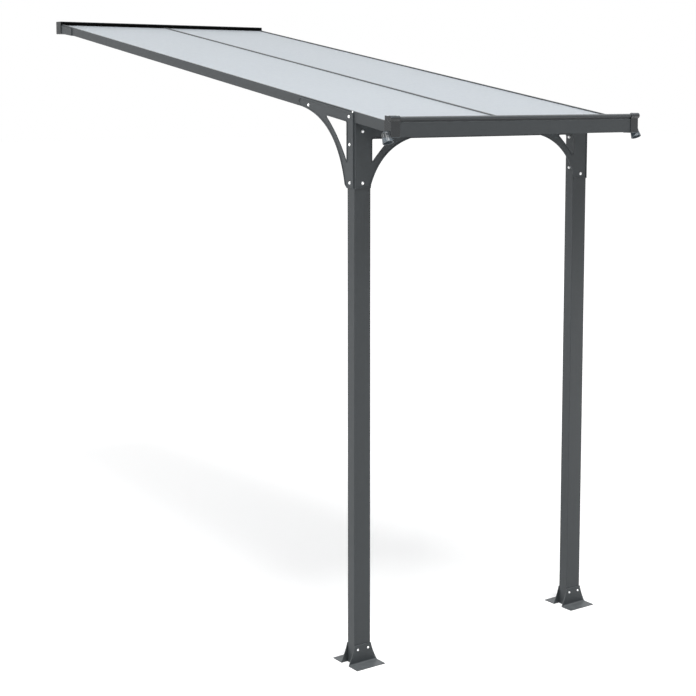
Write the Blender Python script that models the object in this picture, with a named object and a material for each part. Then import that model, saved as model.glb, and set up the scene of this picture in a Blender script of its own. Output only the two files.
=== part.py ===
"""Patio cover: an open lean-to frame with two roof sheets, a gutter and two posts.

Metres, +Z up.  The origin is the centre of the wall rail's flat back face.
+X runs along the wall and -Y runs away from it, so the posts stand at negative Y
and the feet meet the ground at Z = -ORIGIN_HEIGHT.
"""
import math

import bmesh
import bpy
from mathutils import Matrix, Vector

# Overall sizes
ORIGIN_HEIGHT = 2.656
ROOF_HALF_WIDTH = 0.628
POST_FRONT_OUT = 2.755
ROOF_SLOPE = 0.164
SEAT_GAP = 0.0003
CUT_MARGIN = 0.05

# Wall rail
RAIL_HEIGHT = 0.066
RAIL_DEPTH = 0.055
RAIL_OVERHANG = 0.005
RAIL_WALL = 0.003
RAIL_CAP_THICKNESS = 0.003
RAFTER_OVER_RAIL_BOTTOM = 0.0084
SEAL_DEPTH = 0.004

# Rafters and sheets, heights measured square to the slope
RAFTER_HEIGHT = 0.0414
RAFTER_WIDTH = 0.036
RAFTER_WALL = 0.002
LIP_WIDTH = 0.010
SHEET_THICKNESS = 0.006
SHEET_BOTTOM = 0.0305
SHEET_GROOVE = 0.004
SHEET_DRIP = 0.010
RAFTER_ENTRY = 0.012
SHEET_ENTRY = 0.008
MIDDLE_RAFTER_WIDTH = 0.030
MIDDLE_WEB_WIDTH = 0.005
CAP_BAR_WIDTH = 0.016
CAP_BAR_HEIGHT = 0.004
CAP_BAR_CHAMFER = 0.0024
SHOE_REACH = 0.125
SHOE_RISE = 0.036
SHOE_WALL = 0.004
SHOE_FLOOR = 0.002
SHOE_BEND_SHARE = 0.3
SHOE_BEND_SINK = 0.001
SHOE_INNER_SHARE = 0.8

# Posts and beam
POST_WIDTH = 0.080
POST_DEPTH = 0.048
POST_WALL = 0.002
POST_CORNER = 0.004
BEAM_HEIGHT = 0.0663
BEAM_DEPTH = 0.040
BEAM_WALL = 0.002

# Gutter
GUTTER_REACH = 0.272
GUTTER_DEPTH = 0.040
GUTTER_HEIGHT = 0.0775
GUTTER_DROP = 0.0517
GUTTER_WALL = 0.002
LIP_RADIUS = 0.0082
LIP_PROUD = 0.005
GROOVE_DEPTH = 0.003
GROOVE_HEIGHT = 0.007
SLEEVE_LENGTH = 0.0425
SLEEVE_WALL = 0.0025
SLEEVE_LAP = 0.014
ROLL_PROUD = 0.004
ROLL_STEP = 0.001
PLATE_SETBACK = 0.004
PLATE_EAR = 0.004
SPOUT_RADIUS = 0.0180
SPOUT_FLARE = 0.0035
SPOUT_WALL = 0.002
SPOUT_RISE = 0.022
SPOUT_DROP = 0.024
SPOUT_OFFSET = 0.004
SPOUT_SETBACK = 0.0035
SPOUT_TILT = math.radians(24)
SPOUT_PIVOT = 0.010
SPOUT_NECK_SHARE = 0.6
SPOUT_NECK_FLARE = 0.35
DOME_HEIGHT = 0.011
DOME_STEPS = 4

# Brackets, drops measured under the rafters over the posts' front face
BRACKET_DEPTH = 0.0055
BRACKET_EDGE = 0.002
RIM_WIDTH = 0.0035
RECESS_DEPTH = 0.0025
BRACKET_DROP = 0.2585
BRACKET_CHAMFER = 0.014
SIDE_ARC_OFFSET = 0.010
SIDE_REACH = 0.3764
SIDE_SAGITTA = 0.075
SIDE_TIP_RISE = 0.002
SIDE_TOP_RISE = 0.036
SIDE_TIP_LENGTH = 0.012
SIDE_HOLE_SAGITTA = 0.012
SIDE_HOLE_LINTEL = 0.005
FRONT_REACH = 0.2705
FRONT_SAGITTA = 0.034
FRONT_HOLE_SAGITTA = 0.0025
FRONT_LEG_HEIGHT = 0.036
SIDE_HOLE_LAP = 0.0025
FRONT_HOLE_INSET = 0.0035
HOLE_CORNER = 0.007
FRONT_HOLE_CORNER_SHARE = 0.7
SIDE_HOLE_DROP_SHARE = 0.625
FRONT_HOLE_DROP_SHARE = 0.611
SIDE_HOLE_REACH_SHARE = 0.52
FRONT_HOLE_REACH_SHARE = 0.643

# Feet
FOOT_FLARE = 0.029
FOOT_FLANGE = 0.060
FOOT_HEIGHT = 0.079
FOOT_CURVE = 1.3
FOOT_THICKNESS = 0.003
FOOT_BEND = 0.006

SLOPE_ANGLE = math.atan(ROOF_SLOPE)
SLOPE_COSINE = math.cos(SLOPE_ANGLE)
CORNER_HEIGHT = (
    ORIGIN_HEIGHT - RAIL_HEIGHT / 2 + RAFTER_OVER_RAIL_BOTTOM - ROOF_SLOPE * (POST_FRONT_OUT - RAIL_DEPTH)
)
RAIL_HALF_LENGTH = ROOF_HALF_WIDTH + RAIL_OVERHANG
GUTTER_FRONT_OUT = POST_FRONT_OUT + GUTTER_REACH
GUTTER_BACK_OUT = GUTTER_FRONT_OUT - GUTTER_DEPTH
GUTTER_BOTTOM = CORNER_HEIGHT - GUTTER_DROP
GUTTER_TOP = GUTTER_BOTTOM + GUTTER_HEIGHT
END_HALF_LENGTH = ROOF_HALF_WIDTH + SLEEVE_LENGTH - SLEEVE_LAP
BEAM_BOTTOM = CORNER_HEIGHT - BEAM_HEIGHT

ANTHRACITE = (0.085, 0.093, 0.098, 1.0)
SHEET_TINT = (0.76, 0.80, 0.84, 0.75)
BLACK = (0.02, 0.02, 0.022, 1.0)


def clear_scene():
    for old in list(bpy.data.objects):
        bpy.data.objects.remove(old, do_unlink=True)


def new_collection(name):
    collection = bpy.data.collections.new(name)
    bpy.context.scene.collection.children.link(collection)
    return collection


clear_scene()
PARTS = new_collection("patio_cover")
CUTTERS = new_collection("cutters")
CUTTERS.hide_render = True


def make_material(name, colour, metallic, roughness):
    material = bpy.data.materials.new(name)
    material.use_nodes = True
    shader = material.node_tree.nodes["Principled BSDF"]
    shader.inputs["Base Color"].default_value = colour
    shader.inputs["Metallic"].default_value = metallic
    shader.inputs["Roughness"].default_value = roughness
    return material


def finish(obj, colour=ANTHRACITE, metallic=0.3, roughness=0.5):
    """Give the piece its own material and put it with the parts."""
    obj.data.materials.clear()
    obj.data.materials.append(make_material(obj.name, colour, metallic, roughness))
    for owner in list(obj.users_collection):
        owner.objects.unlink(obj)
    PARTS.objects.link(obj)
    return obj


def smooth(obj, degrees=35.0):
    """Shade the round stretches smooth and keep the real edges sharp."""
    obj.data.shade_smooth()
    obj.data.set_sharp_from_angle(angle=math.radians(degrees))
    return obj


def from_loops(name, loops, length, turn):
    """Fill closed outlines, later ones as holes, and extrude them to a straight body."""
    curve = bpy.data.curves.new(name, "CURVE")
    curve.dimensions = "2D"
    curve.fill_mode = "BOTH"
    curve.extrude = length / 2
    for loop in loops:
        spline = curve.splines.new("POLY")
        spline.points.add(len(loop) - 1)
        for point, (u, v) in zip(spline.points, loop):
            point.co = (u, v, 0.0, 1.0)
        spline.use_cyclic_u = True
    carrier = bpy.data.objects.new(name + "_outline", curve)
    bpy.context.scene.collection.objects.link(carrier)
    bpy.context.view_layer.update()
    graph = bpy.context.evaluated_depsgraph_get()
    mesh = bpy.data.meshes.new_from_object(carrier.evaluated_get(graph))
    bpy.data.objects.remove(carrier, do_unlink=True)
    mesh.transform(turn)
    shell = bmesh.new()
    shell.from_mesh(mesh)
    bmesh.ops.remove_doubles(shell, verts=shell.verts, dist=0.00001)
    bmesh.ops.recalc_face_normals(shell, faces=shell.faces)
    shell.to_mesh(mesh)
    shell.free()
    mesh.name = name
    obj = bpy.data.objects.new(name, mesh)
    bpy.context.scene.collection.objects.link(obj)
    return obj


ALONG_X = Matrix(((0, 0, 1, 0), (1, 0, 0, 0), (0, 1, 0, 0), (0, 0, 0, 1)))
ALONG_Y = Matrix(((1, 0, 0, 0), (0, 0, -1, 0), (0, 1, 0, 0), (0, 0, 0, 1)))
ALONG_Z = Matrix.Identity(4)


def bar_along_x(name, loops, length):
    """Outlines are (Y, Z) pairs."""
    return from_loops(name, loops, length, ALONG_X)


def bar_along_y(name, loops, length):
    """Outlines are (X, Z) pairs."""
    return from_loops(name, loops, length, ALONG_Y)


def bar_along_z(name, loops, length):
    """Outlines are (X, Y) pairs."""
    return from_loops(name, loops, length, ALONG_Z)


def place(obj, x, out, height):
    """Put the piece's own origin at a distance from the wall and a height over the ground."""
    obj.location = (x, -out, height - ORIGIN_HEIGHT)
    return obj


def rectangle(left, right, low, high):
    return [(left, low), (right, low), (right, high), (left, high)]


def mirrored(loop, sign):
    """Outline seen from the other side of the cover."""
    return [(sign * u, v) for u, v in loop]


def rounded(points, radius, corners=None, steps=4):
    """Round the chosen corners of a closed outline, or every corner."""
    outline = []
    count = len(points)
    for index in range(count):
        if corners is not None and index not in corners:
            outline.append(points[index])
            continue
        corner = Vector(points[index])
        before = Vector(points[index - 1]) - corner
        after = Vector(points[(index + 1) % count]) - corner
        half = before.angle(after) / 2
        reach = min(radius / math.tan(half), before.length * 0.49, after.length * 0.49)
        start = corner + before.normalized() * reach
        end = corner + after.normalized() * reach
        for step in range(steps + 1):
            t = step / steps
            point = start * (1 - t) ** 2 + corner * 2 * t * (1 - t) + end * t * t
            outline.append((point.x, point.y))
    return outline


def arc_between(start, end, sagitta, steps):
    """Points of a flat arc from start to end, bulging to the left of that direction."""
    first = Vector(start)
    last = Vector(end)
    chord = last - first
    left = Vector((-chord.y, chord.x)).normalized()
    points = []
    for step in range(steps + 1):
        t = step / steps
        point = first + chord * t + left * (sagitta * 4 * t * (1 - t))
        points.append((point.x, point.y))
    return points


def signed_area(points):
    total = 0.0
    for (u0, v0), (u1, v1) in zip(points, points[1:] + points[:1]):
        total += u0 * v1 - u1 * v0
    return total / 2


def shifted(points, distance):
    """Closed outline with every edge moved inwards by the distance, outwards where negative."""
    turn = 1.0 if signed_area(points) > 0 else -1.0
    result = []
    count = len(points)
    for index in range(count):
        corner = Vector(points[index])
        back = (corner - Vector(points[index - 1])).normalized()
        ahead = (Vector(points[(index + 1) % count]) - corner).normalized()
        normal_back = Vector((-back.y, back.x)) * turn
        normal_ahead = Vector((-ahead.y, ahead.x)) * turn
        spread = max(1.0 + normal_back.dot(normal_ahead), 0.35)
        moved = corner + (normal_back + normal_ahead) * (distance / spread)
        result.append((moved.x, moved.y))
    return result


def half_round(centre, radius, start, end, steps):
    points = []
    for step in range(steps + 1):
        angle = math.radians(start + (end - start) * step / steps)
        points.append((centre[0] + radius * math.cos(angle), centre[1] + radius * math.sin(angle)))
    return points


def combine(obj, other, operation):
    """Add or take away a second body, then remove it."""
    modifier = obj.modifiers.new("combine", "BOOLEAN")
    modifier.operation = operation
    modifier.solver = "EXACT"
    modifier.object = other
    bpy.context.view_layer.update()
    graph = bpy.context.evaluated_depsgraph_get()
    mesh = bpy.data.meshes.new_from_object(obj.evaluated_get(graph))
    obj.modifiers.remove(modifier)
    old = obj.data
    obj.data = mesh
    mesh.name = obj.name
    bpy.data.meshes.remove(old)
    bpy.data.objects.remove(other, do_unlink=True)
    return obj


def box(name, low, high):
    obj = bar_along_z(name, [rectangle(low[0], high[0], low[1], high[1])], high[2] - low[2])
    obj.data.transform(Matrix.Translation((0, 0, (low[2] + high[2]) / 2)))
    return obj


def cut(obj, cutter):
    for owner in list(cutter.users_collection):
        owner.objects.unlink(cutter)
    CUTTERS.objects.link(cutter)
    cutter.display_type = "WIRE"
    return combine(obj, cutter, "DIFFERENCE")


def turned(name, profile, sides=32):
    """Revolve (radius, height) points, the first and last on the axis, to a closed body."""
    shell = bmesh.new()
    verts = [shell.verts.new((radius, 0.0, height)) for radius, height in profile]
    edges = [shell.edges.new(pair) for pair in zip(verts, verts[1:])]
    bmesh.ops.spin(
        shell,
        geom=verts + edges,
        cent=(0.0, 0.0, 0.0),
        axis=(0.0, 0.0, 1.0),
        angle=math.tau,
        steps=sides,
    )
    bmesh.ops.remove_doubles(shell, verts=shell.verts, dist=0.00001)
    bmesh.ops.recalc_face_normals(shell, faces=shell.faces)
    mesh = bpy.data.meshes.new(name)
    shell.to_mesh(mesh)
    shell.free()
    obj = bpy.data.objects.new(name, mesh)
    bpy.context.scene.collection.objects.link(obj)
    return obj


def rafter_height_at(out):
    """Height of the rafters' underside at a distance from the wall."""
    return CORNER_HEIGHT + ROOF_SLOPE * (POST_FRONT_OUT - out)


def sheet_top_at(out):
    """Height of the roof sheets' upper face at a distance from the wall."""
    return rafter_height_at(out) + (SHEET_BOTTOM + SHEET_THICKNESS) / SLOPE_COSINE


def on_slope(obj, x, lift=0.0):
    """Lay a bar made along Y on the roof slope, its local origin over the posts' front face."""
    place(obj, x, POST_FRONT_OUT, CORNER_HEIGHT + lift)
    obj.rotation_euler = (SLOPE_ANGLE, 0.0, 0.0)
    return obj


def along_slope(out):
    """Local Y of a point at a distance from the wall, for a bar laid on the slope."""
    return (POST_FRONT_OUT - out) / SLOPE_COSINE


# Wall rail: a channel that is open to the front, with a flat back
def wall_rail():
    half = RAIL_HEIGHT / 2
    outline = [
        (0.0, -half),
        (0.0, half),
        (-RAIL_DEPTH, half),
        (-RAIL_DEPTH, half - RAIL_WALL),
        (-RAIL_WALL, half - RAIL_WALL),
        (-RAIL_WALL, -half + RAIL_WALL),
        (-RAIL_DEPTH, -half + RAIL_WALL),
        (-RAIL_DEPTH, -half),
    ]
    rail = bar_along_x("wall_rail", [outline], 2 * RAIL_HALF_LENGTH)
    place(rail, 0.0, 0.0, ORIGIN_HEIGHT)
    finish(rail)


def rail_caps():
    half = RAIL_HEIGHT / 2
    for side, sign in (("left", -1), ("right", 1)):
        outline = rounded(rectangle(-RAIL_DEPTH, 0.0, -half, half), RAIL_WALL)
        cap = bar_along_x("wall_rail_cap_" + side, [outline], RAIL_CAP_THICKNESS)
        place(cap, sign * (RAIL_HALF_LENGTH + SEAT_GAP + RAIL_CAP_THICKNESS / 2), 0.0, ORIGIN_HEIGHT)
        finish(cap)


def rail_seal():
    """Black strip under the rail's top flange, stepped up over the side rafters."""
    top = RAIL_HEIGHT / 2 - RAIL_WALL - SEAT_GAP
    inner_out = RAIL_DEPTH - SEAL_DEPTH
    front_low = sheet_top_at(RAIL_DEPTH) + 2 * SEAT_GAP - ORIGIN_HEIGHT
    back_low = sheet_top_at(inner_out) + 2 * SEAT_GAP - ORIGIN_HEIGHT
    step = (RAFTER_HEIGHT - SHEET_BOTTOM - SHEET_THICKNESS) / SLOPE_COSINE
    lower = [(-RAIL_DEPTH, top), (-RAIL_DEPTH, front_low), (-inner_out, back_low), (-inner_out, top)]
    upper = [
        (-RAIL_DEPTH, top),
        (-RAIL_DEPTH, front_low + step),
        (-inner_out, back_low + step),
        (-inner_out, top),
    ]
    inner = ROOF_HALF_WIDTH - LIP_WIDTH - SEAT_GAP
    seal = bar_along_x("wall_rail_seal", [lower], 2 * inner)
    end_length = RAIL_HALF_LENGTH - inner + SEAL_DEPTH
    for sign in (-1, 1):
        end = bar_along_x("seal_end", [upper], end_length)
        end.location.x = sign * (RAIL_HALF_LENGTH - end_length / 2)
        combine(seal, end, "UNION")
    place(seal, 0.0, 0.0, ORIGIN_HEIGHT)
    finish(seal, BLACK, 0.0, 0.8)


def cut_rafter_ends(rafter, x, half_width):
    """Saw both ends upright, one behind the gutter and one inside the wall rail."""
    reach = half_width + CUT_MARGIN
    top = RAFTER_HEIGHT + CUT_MARGIN
    front_out = GUTTER_BACK_OUT - SEAT_GAP
    front = box("front_cut", (-reach, -CUT_MARGIN, -top), (reach, 0.0, top))
    place(front, x, front_out, rafter_height_at(front_out))
    cut(rafter, front)
    back_out = RAIL_DEPTH - RAFTER_ENTRY
    back = box("back_cut", (-reach, 0.0, -top), (reach, CUT_MARGIN, top))
    place(back, x, back_out, rafter_height_at(back_out))
    cut(rafter, back)


def slope_bar(name, loops, start, end):
    bar = bar_along_y(name, loops, end - start)
    bar.data.transform(Matrix.Translation((0.0, (start + end) / 2, 0.0)))
    return bar


def rafter_bar(name, loops):
    """Bar along the slope that is a little too long at both ends, to be sawn off upright."""
    start = along_slope(GUTTER_BACK_OUT) - CUT_MARGIN / 2
    end = along_slope(RAIL_DEPTH - RAFTER_ENTRY) + CUT_MARGIN / 2
    return slope_bar(name, loops, start, end)


def side_rafters():
    slot_low = SHEET_BOTTOM - SEAT_GAP
    slot_high = SHEET_BOTTOM + SHEET_THICKNESS + SEAT_GAP
    groove = LIP_WIDTH - SHEET_GROOVE - SEAT_GAP
    outline = [
        (0.0, 0.0),
        (RAFTER_WIDTH, 0.0),
        (RAFTER_WIDTH, slot_low),
        (groove, slot_low),
        (groove, slot_high),
        (LIP_WIDTH, slot_high),
        (LIP_WIDTH, RAFTER_HEIGHT),
        (0.0, RAFTER_HEIGHT),
    ]
    hollow = rectangle(RAFTER_WALL, RAFTER_WIDTH - RAFTER_WALL, RAFTER_WALL, slot_low - RAFTER_WALL)
    for side, sign in (("left", -1), ("right", 1)):
        rafter = rafter_bar("side_rafter_" + side, [mirrored(outline, -sign), mirrored(hollow, -sign)])
        on_slope(rafter, sign * ROOF_HALF_WIDTH)
        cut_rafter_ends(rafter, sign * ROOF_HALF_WIDTH, RAFTER_WIDTH)
        finish(rafter)


def middle_rafter():
    half = MIDDLE_RAFTER_WIDTH / 2
    web = MIDDLE_WEB_WIDTH / 2
    slot_low = SHEET_BOTTOM - SEAT_GAP
    web_top = SHEET_BOTTOM + SHEET_THICKNESS
    outline = [
        (-half, 0.0),
        (half, 0.0),
        (half, slot_low),
        (web, slot_low),
        (web, web_top),
        (-web, web_top),
        (-web, slot_low),
        (-half, slot_low),
    ]
    hollow = rectangle(-half + RAFTER_WALL, half - RAFTER_WALL, RAFTER_WALL, slot_low - RAFTER_WALL)
    rafter = rafter_bar("middle_rafter", [outline, hollow])
    on_slope(rafter, 0.0)
    cut_rafter_ends(rafter, 0.0, half)
    finish(rafter)


def middle_cap_bar():
    """Bar over the joint of the two sheets, with chamfered upper edges."""
    low = SHEET_BOTTOM + SHEET_THICKNESS + SEAT_GAP
    high = low + CAP_BAR_HEIGHT
    half = CAP_BAR_WIDTH / 2
    chamfer = CAP_BAR_CHAMFER
    outline = [
        (-half, low),
        (half, low),
        (half, high - chamfer),
        (half - chamfer, high),
        (-half + chamfer, high),
        (-half, high - chamfer),
    ]
    start = along_slope(GUTTER_BACK_OUT)
    end = along_slope(RAIL_DEPTH) - CAP_BAR_HEIGHT
    bar = slope_bar("middle_cap_bar", [outline], start, end)
    on_slope(bar, 0.0)
    finish(bar)


def roof_sheets():
    start = along_slope(GUTTER_BACK_OUT + SHEET_DRIP)
    end = along_slope(RAIL_DEPTH - SHEET_ENTRY)
    web = MIDDLE_WEB_WIDTH / 2 + SEAT_GAP
    outer = ROOF_HALF_WIDTH - LIP_WIDTH + SHEET_GROOVE
    outline = rectangle(web, outer, SHEET_BOTTOM, SHEET_BOTTOM + SHEET_THICKNESS)
    for side, sign in (("left", -1), ("right", 1)):
        sheet = slope_bar("roof_sheet_" + side, [mirrored(outline, sign)], start, end)
        on_slope(sheet, 0.0)
        finish(sheet, SHEET_TINT, 0.0, 0.25)


def saddle_outline(rise):
    """Side view of a shoe: from the rail's bottom to the rafter's underside, plus a rise over it."""
    near = RAIL_DEPTH + SEAT_GAP
    far = near + SHOE_REACH
    bend = far - SHOE_REACH * SHOE_BEND_SHARE
    seat = SEAT_GAP / SLOPE_COSINE
    return [
        (-near, rafter_height_at(near) - seat + rise),
        (-near, ORIGIN_HEIGHT - RAIL_HEIGHT / 2),
        (-bend, rafter_height_at(bend) - seat - SHOE_FLOOR - SHOE_BEND_SINK),
        (-far, rafter_height_at(far) - seat - SHOE_FLOOR),
        (-far, rafter_height_at(far) - seat + rise),
    ]


def rafter_shoes():
    """Saddle with two cheeks under each rafter, where it meets the wall rail."""
    inner_rise = SHEET_BOTTOM * SHOE_INNER_SHARE
    half = MIDDLE_RAFTER_WIDTH / 2
    places = (
        ("rafter_shoe_left", -ROOF_HALF_WIDTH, RAFTER_WIDTH - ROOF_HALF_WIDTH, -1),
        ("rafter_shoe_middle", -half, half, 0),
        ("rafter_shoe_right", ROOF_HALF_WIDTH - RAFTER_WIDTH, ROOF_HALF_WIDTH, 1),
    )
    for name, left, right, outer_side in places:
        width = right - left + 2 * (SHOE_WALL + SEAT_GAP)
        shoe = bar_along_x(name, [saddle_outline(0.0)], width)
        for sign in (-1, 1):
            rise = SHOE_RISE if sign == outer_side else inner_rise
            cheek = bar_along_x(name + "_cheek", [saddle_outline(rise)], SHOE_WALL)
            cheek.location.x = sign * (width - SHOE_WALL) / 2
            combine(shoe, cheek, "UNION")
        place(shoe, (left + right) / 2, 0.0, 0.0)
        finish(shoe)


def posts():
    outer = rounded(rectangle(0.0, POST_WIDTH, 0.0, POST_DEPTH), POST_CORNER)
    wall = POST_WALL
    inner = rounded(rectangle(wall, POST_WIDTH - wall, wall, POST_DEPTH - wall), POST_CORNER - wall)
    length = CORNER_HEIGHT + CUT_MARGIN
    reach = POST_WIDTH + POST_DEPTH
    for side, sign in (("left", -1), ("right", 1)):
        post = bar_along_z("post_" + side, [mirrored(outer, -sign), mirrored(inner, -sign)], length)
        post.data.transform(Matrix.Translation((0.0, 0.0, length / 2)))
        place(post, sign * ROOF_HALF_WIDTH, POST_FRONT_OUT, 0.0)
        lid = box("post_lid", (-reach, -reach, 0.0), (reach, reach, 2 * CUT_MARGIN))
        on_slope(lid, sign * ROOF_HALF_WIDTH, -SEAT_GAP)
        cut(post, lid)
        finish(smooth(post))


def front_beam():
    low = BEAM_BOTTOM
    front_top = CORNER_HEIGHT - SEAT_GAP
    back_top = rafter_height_at(POST_FRONT_OUT - BEAM_DEPTH) - SEAT_GAP
    outer = [(0.0, low), (BEAM_DEPTH, low), (BEAM_DEPTH, back_top), (0.0, front_top)]
    inner = shifted(outer, BEAM_WALL)
    length = 2 * (ROOF_HALF_WIDTH - POST_WIDTH - SEAT_GAP)
    beam = bar_along_x("front_beam", [outer, inner], length)
    place(beam, 0.0, POST_FRONT_OUT, 0.0)
    finish(beam)


LIP_CENTRE = (LIP_RADIUS - LIP_PROUD, GUTTER_TOP - LIP_RADIUS)


def lip_arc(radius, face, end, steps):
    """Part of a circle round the lip's centre, from an upright face in front to an end angle."""
    start = 360 - math.degrees(math.acos((face - LIP_CENTRE[0]) / radius))
    return half_round(LIP_CENTRE, radius, start, end, steps)


def gutter():
    """Channel section, front towards -Y: flat front, groove under a round lip, back wall under the sheets."""
    wall = GUTTER_WALL
    inner_face = GUTTER_DEPTH - wall
    back_top = rafter_height_at(GUTTER_FRONT_OUT - inner_face) + SHEET_BOTTOM / SLOPE_COSINE - SEAT_GAP
    lip = lip_arc(LIP_RADIUS, GROOVE_DEPTH, 30, 12)
    groove_low = LIP_CENTRE[1] - LIP_RADIUS - GROOVE_HEIGHT
    outline = [(0.0, GUTTER_BOTTOM), (0.0, groove_low), (GROOVE_DEPTH, groove_low + GROOVE_DEPTH)] + lip
    outline += [
        (lip[-1][0], LIP_CENTRE[1]),
        (GROOVE_DEPTH + wall, LIP_CENTRE[1]),
        (GROOVE_DEPTH + wall, groove_low),
        (wall, groove_low - GROOVE_DEPTH),
        (wall, GUTTER_BOTTOM + wall),
        (inner_face, GUTTER_BOTTOM + wall),
        (inner_face, back_top),
        (GUTTER_DEPTH, back_top),
        (GUTTER_DEPTH, GUTTER_BOTTOM),
    ]
    channel = bar_along_x("gutter", [outline], 2 * ROOF_HALF_WIDTH)
    place(channel, 0.0, GUTTER_FRONT_OUT, 0.0)
    finish(smooth(channel))


def sleeve_outline():
    """Section of the sleeve round the gutter's lip, front and floor."""
    inner = -SEAT_GAP
    outer = inner - SLEEVE_WALL
    inner_lip = lip_arc(LIP_RADIUS - inner, inner, 90, 10)
    outer_lip = lip_arc(LIP_RADIUS - outer, outer, 90, 10)
    outline = [(GUTTER_DEPTH, GUTTER_BOTTOM + outer), (GUTTER_DEPTH, GUTTER_BOTTOM + inner)]
    outline += [(inner, GUTTER_BOTTOM + inner)] + inner_lip + outer_lip[::-1]
    outline.append((outer, GUTTER_BOTTOM + outer))
    return outline


def spout_body(name, x, radius, drop, rise):
    """Flared pipe with a domed top, its mouth leaning to the front, heights over the gutter's bottom."""
    low = -drop - SPOUT_PIVOT
    high = rise - SPOUT_PIVOT
    neck = low + drop * SPOUT_NECK_SHARE
    profile = [(0.0, low), (radius + SPOUT_FLARE, low), (radius + SPOUT_FLARE * SPOUT_NECK_FLARE, neck)]
    profile += [(radius, -SPOUT_PIVOT), (radius, high - DOME_HEIGHT)]
    for step in range(1, DOME_STEPS):
        angle = math.pi / 2 * step / DOME_STEPS
        profile.append((radius * math.cos(angle), high - DOME_HEIGHT * (1 - math.sin(angle))))
    profile.append((0.0, high))
    body = turned(name, profile)
    body.location = (x, GUTTER_DEPTH / 2 + SPOUT_SETBACK, GUTTER_BOTTOM + SPOUT_PIVOT)
    body.rotation_euler.x = -SPOUT_TILT
    return body


def gutter_ends():
    """Sleeve over each end of the gutter: end plate, rolled lip end and a flared spout."""
    wall = SLEEVE_WALL
    inner = -SEAT_GAP
    outer = inner - wall
    plate_face = END_HALF_LENGTH - wall
    roll_start = ROOF_HALF_WIDTH + SEAT_GAP
    roll_end = END_HALF_LENGTH + ROLL_PROUD
    floor = GUTTER_BOTTOM + inner
    dome_top = GUTTER_BOTTOM + SPOUT_RISE
    lip_low = GUTTER_TOP - 2 * LIP_RADIUS
    plate_outline = [
        (outer, GUTTER_BOTTOM + outer),
        (GUTTER_DEPTH, GUTTER_BOTTOM + outer),
        (GUTTER_DEPTH, lip_low),
        (GUTTER_DEPTH - PLATE_SETBACK, lip_low + PLATE_SETBACK),
        (GUTTER_DEPTH - PLATE_SETBACK, GUTTER_TOP + PLATE_EAR),
        (LIP_CENTRE[0], GUTTER_TOP),
        (outer, lip_low),
    ]
    roll_outline = half_round(LIP_CENTRE, LIP_RADIUS - outer + ROLL_STEP, 0, 345, 23)
    for side, sign in (("left", -1), ("right", 1)):
        end = bar_along_x("gutter_end_" + side, [sleeve_outline()], SLEEVE_LENGTH)
        end.data.transform(Matrix.Translation((sign * (END_HALF_LENGTH - SLEEVE_LENGTH / 2), 0.0, 0.0)))
        plate = bar_along_x("plate", [plate_outline], wall)
        plate.location.x = sign * (END_HALF_LENGTH - wall / 2)
        combine(end, plate, "UNION")
        roll = bar_along_x("roll", [roll_outline], roll_end - roll_start)
        roll.location.x = sign * (roll_end + roll_start) / 2
        combine(end, roll, "UNION")
        back = box("back", (roll_start, GUTTER_DEPTH - wall, floor), (END_HALF_LENGTH, GUTTER_DEPTH, lip_low))
        back.data.transform(Matrix.Diagonal((sign, 1.0, 1.0, 1.0)))
        if sign < 0:
            back.data.flip_normals()
        combine(end, back, "UNION")
        spout_x = sign * (END_HALF_LENGTH + SPOUT_OFFSET)
        combine(end, spout_body("spout", spout_x, SPOUT_RADIUS, SPOUT_DROP, SPOUT_RISE), "UNION")
        reach = SLEEVE_LENGTH
        channel = box("channel", (-reach, inner, floor), (reach, GUTTER_DEPTH - wall, dome_top + wall))
        channel.location.x = sign * (plate_face - reach)
        cut(end, channel)
        bore_radius = SPOUT_RADIUS - SPOUT_WALL
        cut(end, spout_body("bore", spout_x, bore_radius, SPOUT_DROP + SEAT_GAP, SPOUT_RISE - SPOUT_WALL))
        place(end, 0.0, GUTTER_FRONT_OUT, 0.0)
        finish(smooth(end))


def pressed_plate(name, outline, hole, along):
    """Plate with a recess in its outer face that leaves a raised rim round both edges."""
    plate = along(name, [outline, hole], BRACKET_DEPTH)
    recess = along(name + "_recess", [shifted(outline, RIM_WIDTH), shifted(hole, -RIM_WIDTH)], BRACKET_DEPTH)
    return plate, recess


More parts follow.
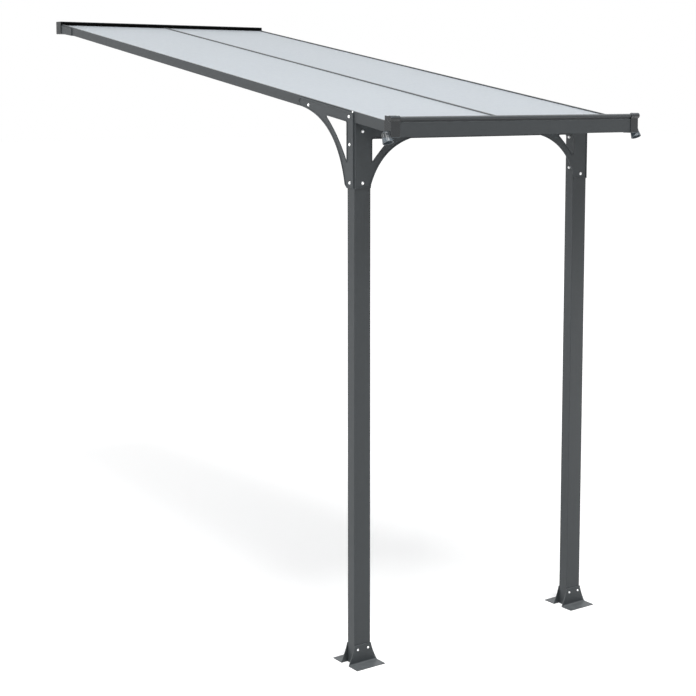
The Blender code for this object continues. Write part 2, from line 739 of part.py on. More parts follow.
def side_brackets():
    """Plate on the outer faces of post and rafter, arc edge towards the wall."""
    low = CORNER_HEIGHT - BRACKET_DROP
    arc_start = (POST_DEPTH + SIDE_ARC_OFFSET, low + BRACKET_CHAMFER)
    tip_height = CORNER_HEIGHT + ROOF_SLOPE * SIDE_REACH
    arc = arc_between(arc_start, (SIDE_REACH, tip_height + SIDE_TIP_RISE), SIDE_SAGITTA, 18)
    outline = [(BRACKET_EDGE, low), (arc_start[0] - BRACKET_CHAMFER, low)] + arc
    outline += [
        (SIDE_REACH + SIDE_TIP_LENGTH, tip_height + SIDE_TOP_RISE * 0.5),
        (SIDE_REACH, tip_height + SIDE_TOP_RISE),
        (BRACKET_EDGE, CORNER_HEIGHT + SIDE_TOP_RISE),
    ]
    hole_front = POST_DEPTH - SIDE_HOLE_LAP
    hole_far = SIDE_REACH * SIDE_HOLE_REACH_SHARE
    hole_low = CORNER_HEIGHT - BRACKET_DROP * SIDE_HOLE_DROP_SHARE
    lintel = CORNER_HEIGHT - SIDE_HOLE_LINTEL
    hole = arc_between((hole_front, hole_low), (hole_far, lintel + ROOF_SLOPE * hole_far), SIDE_HOLE_SAGITTA, 6)
    hole.append((hole_front, lintel + ROOF_SLOPE * hole_front))
    hole = rounded(hole, HOLE_CORNER, corners=(0, 6, 7))
    for side, sign in (("left", -1), ("right", 1)):
        plate, recess = pressed_plate("side_bracket_" + side, outline, hole, bar_along_x)
        recess.location.x = sign * (BRACKET_DEPTH - RECESS_DEPTH)
        cut(plate, recess)
        x = sign * (ROOF_HALF_WIDTH + SEAT_GAP + BRACKET_DEPTH / 2)
        place(plate, x, POST_FRONT_OUT, 0.0)
        finish(smooth(plate))


def front_brackets():
    """Plate on the front faces of post and beam, arc edge towards the other post."""
    low = CORNER_HEIGHT - BRACKET_DROP
    arc_start = (POST_WIDTH - BRACKET_EDGE, low + BRACKET_CHAMFER)
    arc = arc_between(arc_start, (FRONT_REACH, BEAM_BOTTOM - BRACKET_EDGE / 2), FRONT_SAGITTA, 14)
    leg_top = BEAM_BOTTOM + FRONT_LEG_HEIGHT
    head = CORNER_HEIGHT - BRACKET_EDGE
    outline = [(BRACKET_EDGE, low), (POST_WIDTH - 2 * BRACKET_EDGE, low)] + arc
    outline += [
        (FRONT_REACH + BRACKET_CHAMFER, BEAM_BOTTOM + BRACKET_EDGE),
        (FRONT_REACH + BRACKET_CHAMFER, leg_top - BRACKET_CHAMFER),
        (FRONT_REACH, leg_top),
        (POST_WIDTH + head - leg_top, leg_top),
        (POST_WIDTH, head),
        (BRACKET_EDGE, head),
    ]
    hole_near = POST_WIDTH + FRONT_HOLE_INSET
    hole_low = CORNER_HEIGHT - BRACKET_DROP * FRONT_HOLE_DROP_SHARE
    hole_far = FRONT_REACH * FRONT_HOLE_REACH_SHARE
    hole = arc_between((hole_near, hole_low), (hole_far, BEAM_BOTTOM), FRONT_HOLE_SAGITTA, 6)
    hole.append((hole_near, BEAM_BOTTOM))
    hole = rounded(hole, HOLE_CORNER * FRONT_HOLE_CORNER_SHARE, corners=(0, 6, 7))
    for side, sign in (("left", -1), ("right", 1)):
        plate, recess = pressed_plate(
            "front_bracket_" + side, mirrored(outline, -sign), mirrored(hole, -sign), bar_along_y
        )
        recess.location.y = -(BRACKET_DEPTH - RECESS_DEPTH)
        cut(plate, recess)
        place(plate, sign * ROOF_HALF_WIDTH, POST_FRONT_OUT + SEAT_GAP + BRACKET_DEPTH / 2, 0.0)
        finish(smooth(plate))


def flare_cutter(sign):
    """Space beside the upright plate of a foot, along its concave edge."""
    steps = 8
    outer = FOOT_FLARE + CUT_MARGIN
    top = FOOT_HEIGHT + CUT_MARGIN
    outline = [(0.0, top), (outer, top), (outer, FOOT_THICKNESS + SEAT_GAP)]
    for step in range(steps + 1):
        t = step / steps
        height = FOOT_THICKNESS + SEAT_GAP + (FOOT_HEIGHT - FOOT_THICKNESS) * t
        outline.append((FOOT_FLARE * (1 - t) ** FOOT_CURVE, height))
    return bar_along_y("flare_cut", [mirrored(outline, sign)], 2 * FOOT_FLANGE)


def foot_brackets():
    """Upright plate with concave edges, bent into a flange, in front of and behind each post."""
    thick = FOOT_THICKNESS
    inner_bend = half_round((-thick - FOOT_BEND, thick + FOOT_BEND), FOOT_BEND, 0, -90, 5)
    profile = [(0.0, 0.0), (0.0, FOOT_HEIGHT), (-thick, FOOT_HEIGHT)] + inner_bend
    profile += [(-FOOT_FLANGE, thick), (-FOOT_FLANGE, 0.0)]
    width = POST_WIDTH + 2 * FOOT_FLARE
    for side, sign in (("left", -1), ("right", 1)):
        middle = sign * (ROOF_HALF_WIDTH - POST_WIDTH / 2)
        for face, turn in (("front", 1), ("back", -1)):
            name = "foot_bracket_" + side + "_" + face
            foot = bar_along_x(name, [mirrored(profile, turn)], width)
            for edge in (-1, 1):
                cutter = flare_cutter(edge)
                cutter.location.x = edge * POST_WIDTH / 2
                cut(foot, cutter)
            if face == "front":
                out = POST_FRONT_OUT + SEAT_GAP
            else:
                out = POST_FRONT_OUT - POST_DEPTH - SEAT_GAP
            place(foot, middle, out, 0.0)
            finish(smooth(foot))


wall_rail()
rail_caps()
rail_seal()
side_rafters()
middle_rafter()
middle_cap_bar()
roof_sheets()
rafter_shoes()
posts()
front_beam()
gutter()
gutter_ends()
side_brackets()
front_brackets()
foot_brackets()
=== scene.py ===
"""Looks of the patio cover: finishes, bolts, camera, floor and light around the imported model."""
import math

import bmesh
import bpy
from mathutils import Matrix, Vector


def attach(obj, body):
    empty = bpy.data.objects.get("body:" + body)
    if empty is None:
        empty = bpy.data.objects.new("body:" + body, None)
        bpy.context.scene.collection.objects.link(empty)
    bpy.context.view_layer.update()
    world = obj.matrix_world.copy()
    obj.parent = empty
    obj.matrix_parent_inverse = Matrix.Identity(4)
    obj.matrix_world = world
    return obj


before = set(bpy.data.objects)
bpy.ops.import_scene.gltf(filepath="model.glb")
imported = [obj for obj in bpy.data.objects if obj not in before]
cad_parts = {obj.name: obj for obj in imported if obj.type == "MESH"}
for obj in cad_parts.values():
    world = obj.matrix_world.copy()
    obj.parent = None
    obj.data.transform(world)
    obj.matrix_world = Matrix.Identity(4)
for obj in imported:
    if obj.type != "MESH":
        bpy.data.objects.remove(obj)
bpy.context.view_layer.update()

# Places and sizes in the part, in metres.  CORNER is the rafters' underside at the posts' front.
GROUND = -2.656
CORNER = -0.4674
ROOF_HALF_WIDTH = 0.628
ROOF_SLOPE = 0.164
POST_FRONT = -2.755
POST_WIDTH = 0.080
POST_DEPTH = 0.048
BEAM_HEIGHT = 0.0663
GUTTER_BOTTOM = -0.519

# What the bolts lie on: how far a bracket's face between its rims, and a foot plate's, stand off the post
BRACKET_FACE = 0.0033
FOOT_FACE = 0.0033


# Camera: place, turns in radians and lens in pixels, as solved from the photograph's edges
IMAGE_SIZE = 696
CAMERA_PLACE = (-3.9008, -7.3275, -0.3626)
CAMERA_YAW = -0.61465
CAMERA_PITCH = -0.10516
CAMERA_ROLL = 0.00099
FOCAL_PIXELS = 1440.84
OPTICAL_CENTRE = (344.72, 247.34)
SENSOR_MM = 36.0


def add_camera():
    data = bpy.data.cameras.new("camera")
    data.sensor_width = SENSOR_MM
    data.lens = SENSOR_MM * FOCAL_PIXELS / IMAGE_SIZE
    data.shift_x = (IMAGE_SIZE / 2 - OPTICAL_CENTRE[0]) / IMAGE_SIZE
    data.shift_y = (OPTICAL_CENTRE[1] - IMAGE_SIZE / 2) / IMAGE_SIZE
    camera = bpy.data.objects.new("camera", data)
    camera.location = CAMERA_PLACE
    camera.rotation_euler = (math.pi / 2 + CAMERA_PITCH, CAMERA_ROLL, CAMERA_YAW)
    bpy.context.scene.collection.objects.link(camera)
    bpy.context.scene.camera = camera


class Graph:
    """Short calls that build a node tree."""

    def __init__(self, tree):
        self.tree = tree

    def add(self, kind, **values):
        node = self.tree.nodes.new("ShaderNode" + kind)
        for key, value in values.items():
            setattr(node, key, value)
        return node

    def join(self, source, target):
        self.tree.links.new(source, target)

    def feed(self, value, target):
        if isinstance(value, bpy.types.NodeSocket):
            self.join(value, target)
        else:
            target.default_value = value

    def maths(self, operation, first, second=0.0):
        node = self.add("Math", operation=operation)
        self.feed(first, node.inputs[0])
        self.feed(second, node.inputs[1])
        return node.outputs[0]

    def ramp(self, value, span, result=(0.0, 1.0)):
        """Turn a span of values into the result's, in a straight line, and hold it outside the span."""
        node = self.add("MapRange")
        self.feed(value, node.inputs["Value"])
        node.inputs["From Min"].default_value = span[0]
        node.inputs["From Max"].default_value = span[1]
        node.inputs["To Min"].default_value = result[0]
        node.inputs["To Max"].default_value = result[1]
        return node.outputs["Result"]

    def place(self, stretch=(1.0, 1.0, 1.0), shift=(0.0, 0.0, 0.0)):
        """The piece's own coordinates in metres, scaled along each axis, then shifted."""
        coordinates = self.add("TexCoord")
        mapping = self.add("Mapping")
        mapping.inputs["Scale"].default_value = stretch
        mapping.inputs["Location"].default_value = shift
        self.join(coordinates.outputs["Object"], mapping.inputs["Vector"])
        return mapping.outputs["Vector"]

    def part_of(self, vector, axis):
        split = self.add("SeparateXYZ")
        self.join(vector, split.inputs[0])
        return split.outputs[axis]

    def noise(self, vector, scale, detail=2.0, roughness=0.5):
        node = self.add("TexNoise")
        self.join(vector, node.inputs["Vector"])
        node.inputs["Scale"].default_value = scale
        node.inputs["Detail"].default_value = detail
        node.inputs["Roughness"].default_value = roughness
        return node.outputs["Fac"]

    def blend(self, share, first, second):
        node = self.add("Mix", data_type="RGBA")
        self.feed(share, node.inputs["Factor"])
        self.feed(first, node.inputs["A"])
        self.feed(second, node.inputs["B"])
        return node.outputs["Result"]

    def bump(self, height, strength, distance, normal=None):
        node = self.add("Bump")
        node.inputs["Strength"].default_value = strength
        node.inputs["Distance"].default_value = distance
        self.join(height, node.inputs["Height"])
        if normal is not None:
            self.join(normal, node.inputs["Normal"])
        return node.outputs["Normal"]

    def edge(self, radius):
        """Normal that rounds off the edges, and how near an edge a point lies."""
        soft = self.add("Bevel", samples=6)
        soft.inputs["Radius"].default_value = radius
        flat = self.add("NewGeometry")
        product = self.add("VectorMath", operation="DOT_PRODUCT")
        self.join(soft.outputs["Normal"], product.inputs[0])
        self.join(flat.outputs["Normal"], product.inputs[1])
        nearness = self.ramp(product.outputs["Value"], span=(0.995, 0.80))
        return soft.outputs["Normal"], nearness

    def upward(self):
        """One on level faces that look up, none on upright ones."""
        flat = self.add("NewGeometry")
        return self.ramp(self.part_of(flat.outputs["Normal"], "Z"), span=(0.10, 0.80))


def new_material(name):
    material = bpy.data.materials.new(name)
    material.use_nodes = True
    shader = material.node_tree.nodes["Principled BSDF"]
    return material, Graph(material.node_tree), shader


def grey(level, tint=(1.0, 1.0, 1.0)):
    return (level * tint[0], level * tint[1], level * tint[2], 1.0)


# Light: an even pale room, a soft lamp high in front, two on the left and a weak one low on the right
ROOM_STRENGTH = 0.36
WHITE_STRENGTH = 1.0

# Floor: its own glow makes it white, less so near the feet, so that the shadow shows there
FLOOR_HALF_SIZE = 60.0
FLOOR_SINK = 0.0005
FLOOR_TONE = 0.78
FLOOR_ROUGHNESS = 0.9
FLOOR_GLOW = 0.78
FLOOR_GLOW_AT_FEET = 0.42
FLOOR_GLOW_SPAN = (1.0, 9.0)
FEET_TO_ORIGIN = (0.0, -POST_FRONT - POST_DEPTH / 2, 0.0)


def area_light(name, place, aim, size, power):
    """Rectangular lamp, its size in metres and its power in watts, turned towards the aim."""
    data = bpy.data.lights.new(name, "AREA")
    data.shape = "RECTANGLE"
    data.size, data.size_y = size
    data.energy = power
    lamp = bpy.data.objects.new(name, data)
    lamp.location = place
    direction = Vector(aim) - Vector(place)
    lamp.rotation_euler = direction.to_track_quat("-Z", "Y").to_euler()
    bpy.context.scene.collection.objects.link(lamp)


def seen_directly(graph):
    """One for rays that show the white background: the camera's, and those that mirror or pass on."""
    path = graph.add("LightPath")
    seen = graph.maths("MAXIMUM", path.outputs["Is Camera Ray"], path.outputs["Is Glossy Ray"])
    return graph.maths("MAXIMUM", seen, path.outputs["Is Transmission Ray"])


def add_light():
    world = bpy.data.worlds.new("studio")
    bpy.context.scene.world = world
    world.use_nodes = True
    graph = Graph(world.node_tree)
    background = world.node_tree.nodes["Background"]
    background.inputs["Color"].default_value = grey(1.0)
    strength = graph.ramp(seen_directly(graph), span=(0.0, 1.0), result=(ROOM_STRENGTH, WHITE_STRENGTH))
    graph.join(strength, background.inputs["Strength"])
    area_light("key", place=(-6.5, -6.8, 5.5), aim=(-0.5, -2.9, -0.7), size=(2.8, 3.4), power=310.0)
    area_light("left", place=(-9.5, 0.5, 0.5), aim=(-0.6, -2.7, -1.3), size=(4.0, 4.0), power=340.0)
    area_light("top", place=(-1.0, -9.0, 14.0), aim=(0.0, -2.8, -2.0), size=(6.0, 6.0), power=1800.0)
    area_light("right", place=(2.6, -4.2, -2.2), aim=(0.6, -2.8, -2.0), size=(1.2, 1.2), power=4.0)


def add_floor():
    """Pale floor just under the feet."""
    floor = bpy.data.meshes.new("floor")
    shell = bmesh.new()
    bmesh.ops.create_grid(shell, x_segments=1, y_segments=1, size=FLOOR_HALF_SIZE)
    shell.to_mesh(floor)
    shell.free()
    obj = bpy.data.objects.new("floor", floor)
    obj.location = (0.0, 0.0, GROUND - FLOOR_SINK)
    bpy.context.scene.collection.objects.link(obj)
    material, graph, shader = new_material("floor")
    shader.inputs["Base Color"].default_value = grey(FLOOR_TONE)
    shader.inputs["Roughness"].default_value = FLOOR_ROUGHNESS
    shader.inputs["Specular IOR Level"].default_value = 0.0
    shader.inputs["Emission Color"].default_value = grey(1.0)
    distance = graph.add("VectorMath", operation="LENGTH")
    graph.join(graph.place(shift=FEET_TO_ORIGIN), distance.inputs[0])
    glow = graph.ramp(distance.outputs["Value"], FLOOR_GLOW_SPAN, result=(FLOOR_GLOW_AT_FEET, FLOOR_GLOW))
    glow = graph.maths("MULTIPLY", seen_directly(graph), glow)
    graph.join(glow, shader.inputs["Emission Strength"])
    floor.materials.append(material)


# Paint: the last four are the tones of its clouds, flecks and worn edges, the last also a painted edge
# highlight, as multiples of its level
PAINT_TINT = (0.88, 1.00, 1.08)
# Tint of the dust on level faces, which also paints the light that falls on tops
DUST_AND_TOP_LIGHT_TINT = (0.93, 1.00, 1.03)
PAINT_LEVEL = 0.045
PAINT_SPECULAR = 0.34
DARK_CLOUD = 0.90
PALE_CLOUD = 1.10
FLECK = 1.35
SCUFF_AND_EDGE_HIGHLIGHT = 2.1


def powder_coat(name, level, stretch, roughness=0.40, round_edge=0.0012, dust_and_top_light_level=4.1):
    """Anthracite powder coat: fine orange peel, draw lines, rounder worn edges that also carry a painted edge
    highlight, dust on level faces that also paints the light falling on tops.
    """
    material, graph, shader = new_material(name)
    plain = graph.place()
    along = graph.place(stretch)
    cloud = graph.noise(plain, scale=2.6, detail=3.0)
    mottle = graph.noise(plain, scale=38.0, detail=4.0, roughness=0.6)
    lines = graph.noise(along, scale=260.0)
    peel = graph.noise(plain, scale=850.0)
    normal, rim = graph.edge(round_edge)

    tone = graph.blend(cloud, grey(level * DARK_CLOUD, PAINT_TINT), grey(level * PALE_CLOUD, PAINT_TINT))
    fleck = graph.ramp(mottle, span=(0.35, 0.70), result=(0.0, 0.22))
    tone = graph.blend(fleck, tone, grey(level * FLECK, PAINT_TINT))
    # Worn edges, made lighter also as a painted highlight along edges, widest on the posts' corners
    scuff_and_edge_highlight = graph.maths("MULTIPLY", rim, graph.ramp(mottle, span=(0.30, 0.62), result=(0.15, 0.75)))
    tone = graph.blend(scuff_and_edge_highlight, tone, grey(level * SCUFF_AND_EDGE_HIGHLIGHT, PAINT_TINT))
    # Dust on faces that look up, mixed in strongly enough that it also paints the light falling on tops, as
    # on the gutter's lip
    cover = graph.upward()
    dust = graph.maths("MULTIPLY", cover, graph.ramp(mottle, span=(0.25, 0.75), result=(0.30, 0.60)))
    tone = graph.blend(dust, tone, grey(level * dust_and_top_light_level, DUST_AND_TOP_LIGHT_TINT))
    graph.join(tone, shader.inputs["Base Color"])

    sheen = graph.ramp(mottle, span=(0.3, 0.7), result=(roughness - 0.05, roughness + 0.06))
    sheen = graph.maths("ADD", sheen, graph.maths("MULTIPLY", rim, 0.08))
    graph.join(sheen, shader.inputs["Roughness"])
    shader.inputs["Specular IOR Level"].default_value = PAINT_SPECULAR

    height = graph.maths("ADD", graph.maths("MULTIPLY", peel, 0.6), graph.maths("MULTIPLY", lines, 0.4))
    bump = graph.bump(height, strength=0.20, distance=0.00025, normal=normal)
    graph.join(bump, shader.inputs["Normal"])
    return material


PLASTIC_TINT = (0.80, 1.00, 1.16)
PLASTIC_SPECULAR = 0.55
PLASTIC_ROUND_EDGE = 0.0032
PLASTIC_DARK = 0.010
PLASTIC_PALE = 0.016
# The spout's paler tone is a painted highlight
PLASTIC_SPOUT_HIGHLIGHT = 0.100
PLASTIC_RIM = 0.10
PLASTIC_PALE_ON_TOP = 0.11


def moulded_plastic():
    """Grey moulding: finer grain than the paint, more gloss, paler on its edges and on faces that look up,
    with a painted highlight on the spout.
    """
    material, graph, shader = new_material("moulded_plastic")
    plain = graph.place()
    cloud = graph.noise(plain, scale=9.0, detail=3.0)
    grain = graph.noise(plain, scale=1400.0, detail=3.0, roughness=0.7)
    normal, rim = graph.edge(PLASTIC_ROUND_EDGE)
    height = graph.part_of(plain, "Z")
    # Below the gutter's bottom the spout is paler: a painted highlight
    spout = graph.ramp(height, span=(GUTTER_BOTTOM + 0.001, GUTTER_BOTTOM - 0.004))
    tone = graph.blend(cloud, grey(PLASTIC_DARK, PLASTIC_TINT), grey(PLASTIC_PALE, PLASTIC_TINT))
    tone = graph.blend(spout, tone, grey(PLASTIC_SPOUT_HIGHLIGHT, PLASTIC_TINT))
    tone = graph.blend(graph.maths("MULTIPLY", rim, 0.20), tone, grey(PLASTIC_RIM, PLASTIC_TINT))
    # Paler on faces that look up
    dust = graph.maths("MULTIPLY", graph.upward(), 0.45)
    tone = graph.blend(dust, tone, grey(PLASTIC_PALE_ON_TOP, PLASTIC_TINT))
    graph.join(tone, shader.inputs["Base Color"])
    graph.join(graph.ramp(cloud, span=(0.3, 0.7), result=(0.21, 0.26)), shader.inputs["Roughness"])
    shader.inputs["Specular IOR Level"].default_value = PLASTIC_SPECULAR
    bump = graph.bump(grain, strength=0.25, distance=0.0002, normal=normal)
    graph.join(bump, shader.inputs["Normal"])
    return material


RUBBER_SPECULAR = 0.03
RUBBER_ROUND_EDGE = 0.0010
# Tones far below black rubber, so that the strip also paints the shade under the wall rail's lip
RUBBER_DARK = 0.0008
RUBBER_PALE = 0.0022


def black_rubber():
    """Matt black strip, far darker than rubber so that it also paints the shade under the wall rail's lip,
    with a fine grain and faint clouds.
    """
    material, graph, shader = new_material("black_rubber")
    plain = graph.place()
    cloud = graph.noise(plain, scale=14.0, detail=3.0)
    grain = graph.noise(plain, scale=900.0, detail=3.0, roughness=0.7)
    normal, _ = graph.edge(RUBBER_ROUND_EDGE)
    tone = graph.blend(cloud, grey(RUBBER_DARK), grey(RUBBER_PALE))
    graph.join(tone, shader.inputs["Base Color"])
    graph.join(graph.ramp(cloud, span=(0.3, 0.7), result=(0.75, 0.9)), shader.inputs["Roughness"])
    shader.inputs["Specular IOR Level"].default_value = RUBBER_SPECULAR
    bump = graph.bump(grain, strength=0.3, distance=0.0002, normal=normal)
    graph.join(bump, shader.inputs["Normal"])
    return material


SHEET_RIB_PITCH = 0.006
SHEET_IOR = 1.30
SHEET_SPECULAR = 0.25
SHEET_DARK = (0.545, 0.589, 0.633, 1.0)
SHEET_PALE = (0.575, 0.619, 0.658, 1.0)
SHEET_RIB = (0.74, 0.78, 0.82, 1.0)
SHEET_DUST = (0.52, 0.55, 0.58, 1.0)


def roof_sheet():
    """Pale twin-wall sheet: ribs run down the slope between two skins, and some light comes through."""
    material, graph, shader = new_material("roof_sheet")
    plain = graph.place()
    cloud = graph.noise(plain, scale=1.4)
    speck = graph.noise(plain, scale=55.0, detail=4.0, roughness=0.65)
    phase = graph.maths("MULTIPLY", graph.part_of(plain, "X"), math.tau / SHEET_RIB_PITCH)
    wave = graph.maths("COSINE", phase)
    rib = graph.ramp(wave, span=(0.75, 1.0))

    tone = graph.blend(cloud, SHEET_DARK, SHEET_PALE)
    tone = graph.blend(graph.maths("MULTIPLY", rib, 0.12), tone, SHEET_RIB)
    dust = graph.ramp(speck, span=(0.50, 0.80), result=(0.0, 0.05))
    tone = graph.blend(dust, tone, SHEET_DUST)
    graph.join(tone, shader.inputs["Base Color"])
    graph.join(graph.ramp(speck, span=(0.3, 0.7), result=(0.36, 0.46)), shader.inputs["Roughness"])
    clear = graph.ramp(rib, span=(0.0, 1.0), result=(0.26, 0.16))
    graph.join(clear, shader.inputs["Transmission Weight"])
    shader.inputs["IOR"].default_value = SHEET_IOR
    shader.inputs["Specular IOR Level"].default_value = SHEET_SPECULAR
    graph.join(graph.bump(wave, strength=0.06, distance=0.0002), shader.inputs["Normal"])
    return material


STEEL_DARK = (0.95, 0.96, 0.97, 1.0)
STEEL_PALE = (0.99, 0.99, 0.98, 1.0)


def zinc_steel():
    """Bright plated steel of the bolts, with an uneven tone and fine marks in its gloss."""
    material, graph, shader = new_material("zinc_steel")
    plain = graph.place()
    cloud = graph.noise(plain, scale=260.0, detail=3.0)
    scratch = graph.noise(plain, scale=2600.0, roughness=0.6)
    graph.join(graph.blend(cloud, STEEL_DARK, STEEL_PALE), shader.inputs["Base Color"])
    shader.inputs["Metallic"].default_value = 1.0
    graph.join(graph.ramp(scratch, span=(0.3, 0.7), result=(0.22, 0.36)), shader.inputs["Roughness"])
    graph.join(graph.bump(scratch, strength=0.12, distance=0.0001), shader.inputs["Normal"])
    return material


# Which way the draw lines of a section run: the noise is stretched along it, and along none on pressed steel
ALONG_WALL = (0.02, 1.0, 1.0)
DOWN_SLOPE = (1.0, 0.02, 1.0)
UPRIGHT = (1.0, 1.0, 0.02)
PRESSED = (1.0, 1.0, 1.0)

# Where the paint of some pieces differs from the rest, partly by painted light
# More dust on the gutter, which also paints light on its lip
GUTTER_DUST_AND_TOP_LIGHT = 5.4
# Wider rounding on the posts, which also widens the painted highlight on their corners
POST_ROUND_EDGE = 0.005
# The brackets' paint is a lighter copy of the rest, painted light on their front faces
PRESSED_LEVEL_WITH_PAINTED_LIGHT = PAINT_LEVEL * 1.12
PRESSED_ROUGHNESS = 0.44
# Less dust and painted top light on the pressed pieces
PRESSED_DUST_AND_TOP_LIGHT = 3.9
CAP_LEVEL = PAINT_LEVEL * 0.6


def dress_nodes():
    """Give each CAD node the look whose name begins its own, the longest where several do."""
    rail = powder_coat("paint_rail", PAINT_LEVEL, ALONG_WALL)
    gutter = powder_coat("paint_gutter", PAINT_LEVEL, ALONG_WALL, dust_and_top_light_level=GUTTER_DUST_AND_TOP_LIGHT)
    rafter = powder_coat("paint_rafter", PAINT_LEVEL, DOWN_SLOPE)
    post = powder_coat("paint_post", PAINT_LEVEL, UPRIGHT, round_edge=POST_ROUND_EDGE)
    pressed = powder_coat("paint_pressed", PRESSED_LEVEL_WITH_PAINTED_LIGHT, PRESSED, PRESSED_ROUGHNESS, dust_and_top_light_level=PRESSED_DUST_AND_TOP_LIGHT)
    looks = {
        "wall_rail": rail,
        "wall_rail_cap": powder_coat("paint_cap", CAP_LEVEL, PRESSED),
        "front_beam": rail,
        "gutter": gutter,
        "gutter_end": moulded_plastic(),
        "side_rafter": rafter,
        "middle_rafter": rafter,
        "middle_cap_bar": rafter,
        "post": post,
        "side_bracket": pressed,
        "front_bracket": pressed,
        "foot_bracket": pressed,
        "rafter_shoe": pressed,
        "wall_rail_seal": black_rubber(),
        "roof_sheet": roof_sheet(),
    }
    for name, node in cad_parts.items():
        best = max((key for key in looks if name.startswith(key)), key=len)
        for slot in node.material_slots:
            slot.material = looks[best]


# Fastenings, built from rings of points round an axis.  Each profile runs from the bottom up, in metres.
# A ring is a radius, a height and a number of corners.  A hexagon's radius is half its width over the flats.
RING_SIDES = 24
SMOOTH_ANGLE = math.radians(32.0)
ROUND = 0
HEXAGON = 6
WASHER = ((0.0063, 0.0, ROUND), (0.0066, 0.0002, ROUND), (0.0066, 0.0009, ROUND), (0.0063, 0.0011, ROUND))
WASHER_HEIGHT = 0.0011
SCREW = ((0.0042, 0.0, ROUND), (0.0042, 0.0008, ROUND), (0.0034, 0.0020, ROUND), (0.0017, 0.0027, ROUND))

# Nut with a flange and a chamfered top, and the bolt's end that shows in it
NUT = (
    (0.0058, 0.0, ROUND),
    (0.0058, 0.0010, ROUND),
    (0.0050, 0.0010, HEXAGON),
    (0.0050, 0.0048, HEXAGON),
    (0.0047, 0.0055, ROUND),
    (0.0034, 0.0055, ROUND),
    (0.0031, 0.0070, ROUND),
    (0.0026, 0.0075, ROUND),
)

# Domed head: the dome gives shares of the head's radius and heights over its underside
HEAD_RADIUS = 0.0058
SMALL_HEAD_RADIUS = 0.0051
HEAD_EDGE_INSET = 0.0002
HEAD_EDGE_HEIGHT = 0.0003
HEAD_DOME = ((0.97, 0.0012), (0.86, 0.0021), (0.68, 0.0028), (0.50, 0.0031))
HEAD_SOCKET = ((0.0013, 0.0031), (0.0012, 0.0020))


def ring_radius(radius, angle, corners):
    """Radius of a circle, or of a regular polygon by its half width over the flats."""
    if not corners:
        return radius
    sector = math.tau / corners
    offset = (angle + sector / 2) % sector - sector / 2
    return radius / math.cos(offset)


def ring_stack(shell, rings, turn):
    """Close a stack of rings to a solid, standing where the matrix puts it."""
    stack = []
    for radius, height, corners in rings:
        ring = []
        for index in range(RING_SIDES):
            angle = math.tau * index / RING_SIDES
            reach = ring_radius(radius, angle, corners)
            point = Vector((reach * math.cos(angle), reach * math.sin(angle), height))
            ring.append(shell.verts.new(turn @ point))
        stack.append(ring)
    for low, high in zip(stack, stack[1:]):
        for index in range(RING_SIDES):
            after = (index + 1) % RING_SIDES
            shell.faces.new((low[index], low[after], high[after], high[index]))
    shell.faces.new(stack[0][::-1])
    shell.faces.new(stack[-1])


def facing(place, direction):
    """Matrix that stands an upright shape at a place, its top towards the direction."""
    aim = Vector(direction).to_track_quat("Z", "Y").to_matrix().to_4x4()
    return Matrix.Translation(place) @ aim


def button_head(radius, base=0.0):
    """Domed head with a hexagon socket, its underside at the base height."""
    rings = [(radius - HEAD_EDGE_INSET, base, ROUND), (radius, base + HEAD_EDGE_HEIGHT, ROUND)]
    rings += [(radius * share, base + height, ROUND) for share, height in HEAD_DOME]
    rings += [(reach, base + height, HEXAGON) for reach, height in HEAD_SOCKET]
    return rings


def fastening_set(name, entries, look):
    """One piece of all the fastenings of a kind: each entry is rings, a place and a direction."""
    shell = bmesh.new()
    for rings, place, direction in entries:
        ring_stack(shell, rings, facing(place, direction))
    bmesh.ops.recalc_face_normals(shell, faces=shell.faces)
    mesh = bpy.data.meshes.new(name)
    shell.to_mesh(mesh)
    shell.free()
    mesh.shade_smooth()
    mesh.set_sharp_from_angle(angle=SMOOTH_ANGLE)
    mesh.materials.append(look)
    obj = bpy.data.objects.new(name, mesh)
    bpy.context.scene.collection.objects.link(obj)
    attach(obj, "root")


# Places of the fastenings: how far behind the posts' front, or in from the posts' outer faces, and then the
# height over the rafters' or the beam's underside, or the height from CORNER, which is below zero
RAFTER_BOLTS = ((0.314, 0.0145), (0.031, 0.017))
POST_BOLTS = ((0.027, -0.087), (0.026, -0.237))
POST_NUTS = ((0.025, -0.078), (0.022, -0.211))
LIP_SCREW = (0.0105, 0.038)
FRONT_BOLTS = ((0.038, -0.035), (0.038, -0.238))
FRONT_TIP_BOLT = (0.242, 0.016)
FOOT_BOLT_SPREAD = 0.0255
FOOT_BOLT_HEIGHT = 0.060
FORWARD = (0, -1, 0)
BACKWARD = (0, 1, 0)


def over_rafter(back, lift):
    """Height of a point over the rafters' underside, at a distance behind the posts' front."""
    return CORNER + ROOF_SLOPE * back + lift


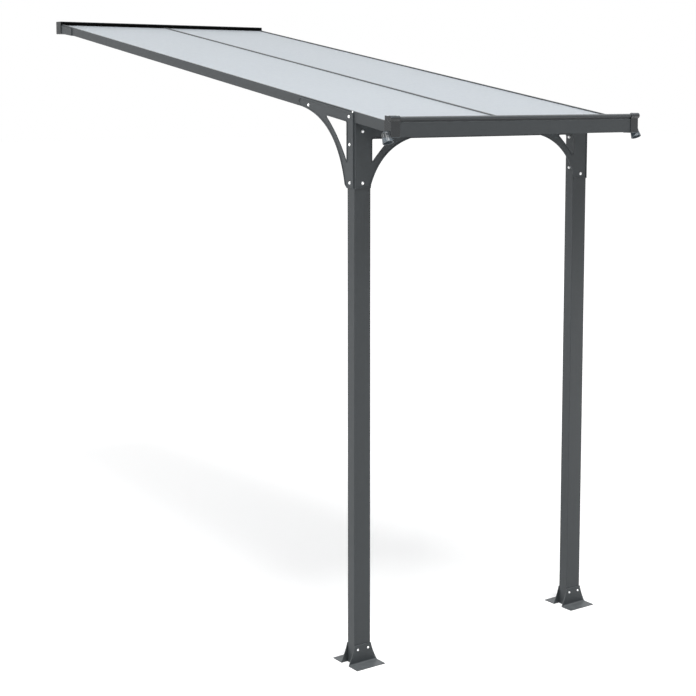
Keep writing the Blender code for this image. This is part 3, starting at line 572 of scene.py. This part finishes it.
def side_entries(sign, head):
    """Bolts of the bracket on a post's and a rafter's outer face, and the screw in the rafter's lip."""
    outward = (sign, 0, 0)
    face_x = sign * (ROOF_HALF_WIDTH + BRACKET_FACE)
    entries = []
    for back, lift in RAFTER_BOLTS:
        entries.append((head, (face_x, POST_FRONT + back, over_rafter(back, lift)), outward))
    for back, drop in POST_BOLTS:
        entries.append((head, (face_x, POST_FRONT + back, CORNER + drop), outward))
    back, lift = LIP_SCREW
    place = (sign * ROOF_HALF_WIDTH, POST_FRONT + back, over_rafter(back, lift))
    entries.append((SCREW, place, outward))
    return entries


def nut_entries(sign):
    """Nuts on a post's inner face."""
    inner_x = sign * (ROOF_HALF_WIDTH - POST_WIDTH)
    return [(NUT, (inner_x, POST_FRONT + back, CORNER + drop), (-sign, 0, 0)) for back, drop in POST_NUTS]


def front_entries(sign, head):
    """Bolts of the bracket on a post's and the beam's front face."""
    face_y = POST_FRONT - BRACKET_FACE
    entries = []
    for inset, drop in FRONT_BOLTS:
        entries.append((head, (sign * (ROOF_HALF_WIDTH - inset), face_y, CORNER + drop), FORWARD))
    inset, lift = FRONT_TIP_BOLT
    place = (sign * (ROOF_HALF_WIDTH - inset), face_y, CORNER - BEAM_HEIGHT + lift)
    entries.append((head, place, FORWARD))
    return entries


def foot_entries(sign, head):
    """Bolts through a post's two foot plates, with the heads in front and the nuts behind."""
    z = GROUND + FOOT_BOLT_HEIGHT
    entries = []
    for drift in (-FOOT_BOLT_SPREAD, FOOT_BOLT_SPREAD):
        x = sign * (ROOF_HALF_WIDTH - POST_WIDTH / 2) + drift
        entries.append((head, (x, POST_FRONT - FOOT_FACE, z), FORWARD))
        entries.append((NUT, (x, POST_FRONT + POST_DEPTH + FOOT_FACE, z), BACKWARD))
    return entries


def add_fastenings():
    look = zinc_steel()
    head_on_washer = [*WASHER, *button_head(HEAD_RADIUS, WASHER_HEIGHT)]
    small_head = button_head(SMALL_HEAD_RADIUS)
    for side, sign in (("left", -1), ("right", 1)):
        fastening_set("side_bolts_" + side, side_entries(sign, head_on_washer), look)
        fastening_set("side_nuts_" + side, nut_entries(sign), look)
        fastening_set("front_bolts_" + side, front_entries(sign, head_on_washer), look)
        fastening_set("foot_bolts_" + side, foot_entries(sign, small_head), look)


add_camera()
add_light()
add_floor()
dress_nodes()
add_fastenings()

bpy.context.scene.view_settings.view_transform = "Standard"
